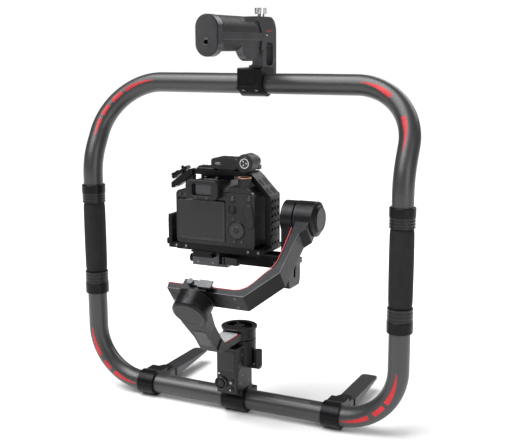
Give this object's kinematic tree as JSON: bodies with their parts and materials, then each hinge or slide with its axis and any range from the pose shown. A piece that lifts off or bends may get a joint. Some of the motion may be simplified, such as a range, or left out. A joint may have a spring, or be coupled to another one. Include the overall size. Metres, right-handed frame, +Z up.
{
  "type": "gimbal stabilizer",
  "caption": "Motorised gimbal in a large tubular ring grip with foam side grips, hinged top handle, folding feet and a camera in a cage on the quick release.",
  "frame": {"origin": "on the ground under the middle of the centre clamp, at the mouth of its threaded hole", "axes": "+X to the operator's right across the ring, +Y forward the way the lens looks, +Z up"},
  "size_m": [0.5364, 0.3191, 0.5955],
  "materials": {
    "carbon": "woven carbon fibre under satin clear coat",
    "dark_aluminium": "bead-blasted anodised",
    "foam": "closed-cell foam, matte",
    "black_plastic": "fine texture moulded",
    "black_aluminium": "black anodised",
    "grey_aluminium": "dark grey anodised",
    "motor_grey": "graphite anodised",
    "light_grey": "satin",
    "steel": "blackened",
    "bright_metal": "polished",
    "rubber": "matte moulded rubber",
    "screen": "glossy",
    "board": "solder mask",
    "copper": "wound copper and steel"
  },
  "bodies": {
    "ring": {"lower_tube": "carbon", "upper_tube": "carbon", "grip_tubes": "dark_aluminium", "foam_grip_left": "foam", "foam_grip_right": "foam", "grip_end_rings": "black_plastic", "coupling_collars": "black_aluminium", "clamp_lower_halves": "black_aluminium", "center_clamp_upper": "black_aluminium", "foot_clamp_uppers": "black_aluminium", "top_clamp_upper": "black_aluminium", "clamp_screws": "steel", "pivot_pins": "steel", "handle_bracket": "grey_aluminium", "base_shell_rear": "black_plastic", "base_shell_front": "black_plastic", "base_screen": "screen", "control_board": "board", "pan_motor_housing": "motor_grey", "pan_motor_core": "copper"},
    "foot_left": {"foot_left": "grey_aluminium"},
    "foot_right": {"foot_right": "grey_aluminium"},
    "handle": {"handle_core": "grey_aluminium", "handle_pads": "rubber", "handle_end_cap": "grey_aluminium"},
    "thumb_screw": {"thumb_screw": "bright_metal"},
    "joystick": {"joystick": "rubber"},
    "mode_button": {"mode_button": "black_plastic"},
    "record_button": {"record_button": "black_plastic"},
    "trigger": {"trigger": "black_plastic"},
    "side_dial": {"side_dial": "black_plastic"},
    "pan_stage": {"pan_rotor": "steel", "pan_arm": "motor_grey", "pan_arm_plate": "light_grey", "roll_motor_housing": "motor_grey", "roll_motor_cap": "motor_grey", "roll_motor_core": "copper"},
    "roll_stage": {"roll_rotor": "steel", "roll_saddle": "motor_grey"},
    "roll_lock": {"roll_lock": "grey_aluminium"},
    "roll_arm": {"roll_arm": "motor_grey", "tilt_motor_housing": "motor_grey", "tilt_motor_cap": "motor_grey", "tilt_motor_core": "copper"},
    "tilt_stage": {"tilt_rotor": "steel", "tilt_arm": "motor_grey"},
    "camera_arm": {"camera_arm": "motor_grey", "qr_base": "grey_aluminium"},
    "arm_lock": {"arm_lock": "black_plastic"},
    "qr_lever": {"qr_lever": "black_plastic"},
    "qr_knob": {"qr_knob": "black_aluminium"},
    "camera": {"camera_plate": "black_aluminium", "cage_frame": "black_aluminium", "camera_body": "black_plastic", "camera_eyecup": "rubber", "lens_barrel": "black_plastic", "focus_motor": "black_plastic"},
    "camera_screen": {"camera_screen": "screen"},
    "focus_ring": {"focus_ring": "rubber"},
    "focus_gear": {"focus_gear": "black_plastic"}
  },
  "joints": [
    {"name": "foot_left_fold", "type": "hinge", "parent": "ring", "child": "foot_left", "pos_m": [-0.1545, 0.045, 0.018], "axis": [0, 0, -1], "range_deg": [0, 90]},
    {"name": "foot_right_fold", "type": "hinge", "parent": "ring", "child": "foot_right", "pos_m": [0.1545, 0.045, 0.018], "axis": [0, 0, 1], "range_deg": [0, 90]},
    {"name": "handle_tilt", "type": "hinge", "parent": "ring", "child": "handle", "pos_m": [0, 0.024, 0.551], "axis": [1, 0, 0], "range_deg": [-36, 30]},
    {"name": "thumb_screw_turn", "type": "hinge", "parent": "ring", "child": "thumb_screw", "pos_m": [0.008, 0.07, 0.59], "axis": [0, 0, 1], "continuous": true},
    {"name": "joystick_tilt", "type": "hinge", "parent": "ring", "child": "joystick", "pos_m": [-0.008, -0.033, 0.054], "axis": [1, 0, 0], "range_deg": [-12, 12], "stiffness_Nm_per_rad": 0.05},
    {"name": "mode_button_press", "type": "slide", "parent": "ring", "child": "mode_button", "axis": [0, 1, 0], "range_m": [0, 0.0009], "stiffness_N_per_m": 300},
    {"name": "record_button_press", "type": "slide", "parent": "ring", "child": "record_button", "axis": [0, 1, 0], "range_m": [0, 0.0009], "stiffness_N_per_m": 300},
    {"name": "trigger_pull", "type": "hinge", "parent": "ring", "child": "trigger", "pos_m": [0, 0.021, 0.07], "axis": [-1, 0, 0], "range_deg": [0, 5], "stiffness_Nm_per_rad": 0.6, "springref_deg": -1.15},
    {"name": "side_dial_turn", "type": "hinge", "parent": "ring", "child": "side_dial", "pos_m": [0.031, 0.009, 0.084], "axis": [0, 0, 1], "continuous": true},
    {"name": "pan", "type": "hinge", "parent": "ring", "child": "pan_stage", "pos_m": [0, 0.008, 0.11], "axis": [0, 0, 1], "continuous": true},
    {"name": "roll", "type": "hinge", "parent": "pan_stage", "child": "roll_stage", "pos_m": [0, -0.11942, 0.20245], "axis": [0, 0.788, 0.6157], "range_deg": [-95, 240]},
    {"name": "roll_lock_turn", "type": "hinge", "parent": "roll_stage", "child": "roll_lock", "pos_m": [-0.004, -0.12399, 0.22616], "axis": [0, -0.6157, 0.788], "range_deg": [0, 60]},
    {"name": "roll_arm_slide", "type": "slide", "parent": "roll_stage", "child": "roll_arm", "axis": [1, 0, 0], "range_m": [-0.012, 0.012]},
    {"name": "tilt", "type": "hinge", "parent": "roll_arm", "child": "tilt_stage", "pos_m": [0.091, 0.008, 0.302], "axis": [1, 0, 0], "range_deg": [-112, 214]},
    {"name": "camera_height", "type": "slide", "parent": "tilt_stage", "child": "camera_arm", "axis": [0, 0, 1], "range_m": [-0.012, 0.012]},
    {"name": "arm_lock_turn", "type": "hinge", "parent": "camera_arm", "child": "arm_lock", "pos_m": [0.092, 0.008, 0.2375], "axis": [1, 0, 0], "range_deg": [-60, 60]},
    {"name": "qr_lever_turn", "type": "hinge", "parent": "camera_arm", "child": "qr_lever", "pos_m": [-0.003, -0.028, 0.24], "axis": [0, 0, 1], "range_deg": [-50, 15]},
    {"name": "qr_knob_turn", "type": "hinge", "parent": "camera_arm", "child": "qr_knob", "pos_m": [-0.058, -0.022, 0.236], "axis": [1, 0, 0], "continuous": true},
    {"name": "camera_slide", "type": "slide", "parent": "camera_arm", "child": "camera", "axis": [0, 1, 0], "range_m": [-0.02, 0.02]},
    {"name": "camera_screen_tilt", "type": "hinge", "parent": "camera", "child": "camera_screen", "pos_m": [-0.0345, -0.039, 0.325], "axis": [-1, 0, 0], "range_deg": [0, 90]},
    {"name": "focus_ring_turn", "type": "hinge", "parent": "camera", "child": "focus_ring", "pos_m": [-0.03, 0.06, 0.302], "axis": [0, 1, 0], "range_deg": [0, 150]},
    {"name": "focus_gear_turn", "type": "hinge", "parent": "camera", "child": "focus_gear", "pos_m": [0.026, -0.01, 0.379], "axis": [0, 1, 0], "continuous": true}
  ]
}
